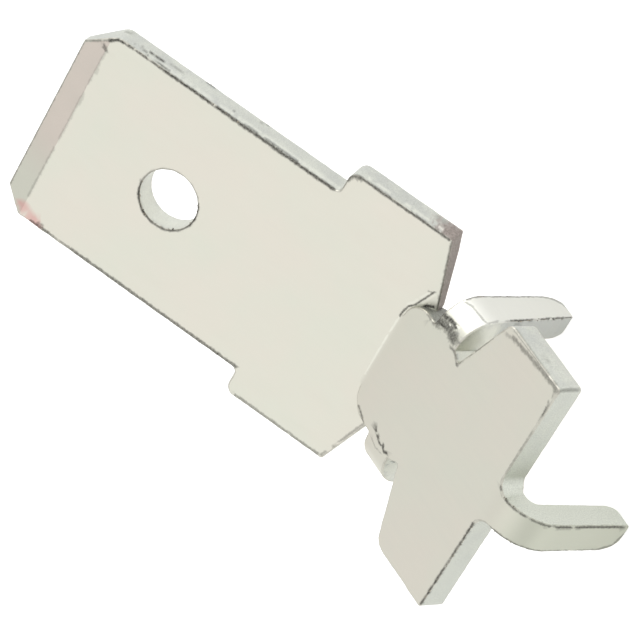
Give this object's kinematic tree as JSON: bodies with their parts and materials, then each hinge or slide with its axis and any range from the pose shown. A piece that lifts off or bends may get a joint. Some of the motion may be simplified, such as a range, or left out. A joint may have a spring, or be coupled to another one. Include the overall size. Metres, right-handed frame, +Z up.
{
  "type": "male spade terminal",
  "caption": "Stamped board-mount spade terminal: bevelled blade with a detent hole, folded up at an angle from a winged base with bent-down solder legs.",
  "frame": {"origin": "on the board plane, which is the underside of the base, midway between the two side legs", "axes": "+X across the part, +Y from the blade towards the rear leg, +Z up and away from the board"},
  "size_m": [0.0078, 0.0167, 0.0096],
  "materials": {
    "tinned_brass": "tin plated, satin"
  },
  "bodies": {
    "root": {"spade_terminal": "tinned_brass"}
  },
  "joints": []
}
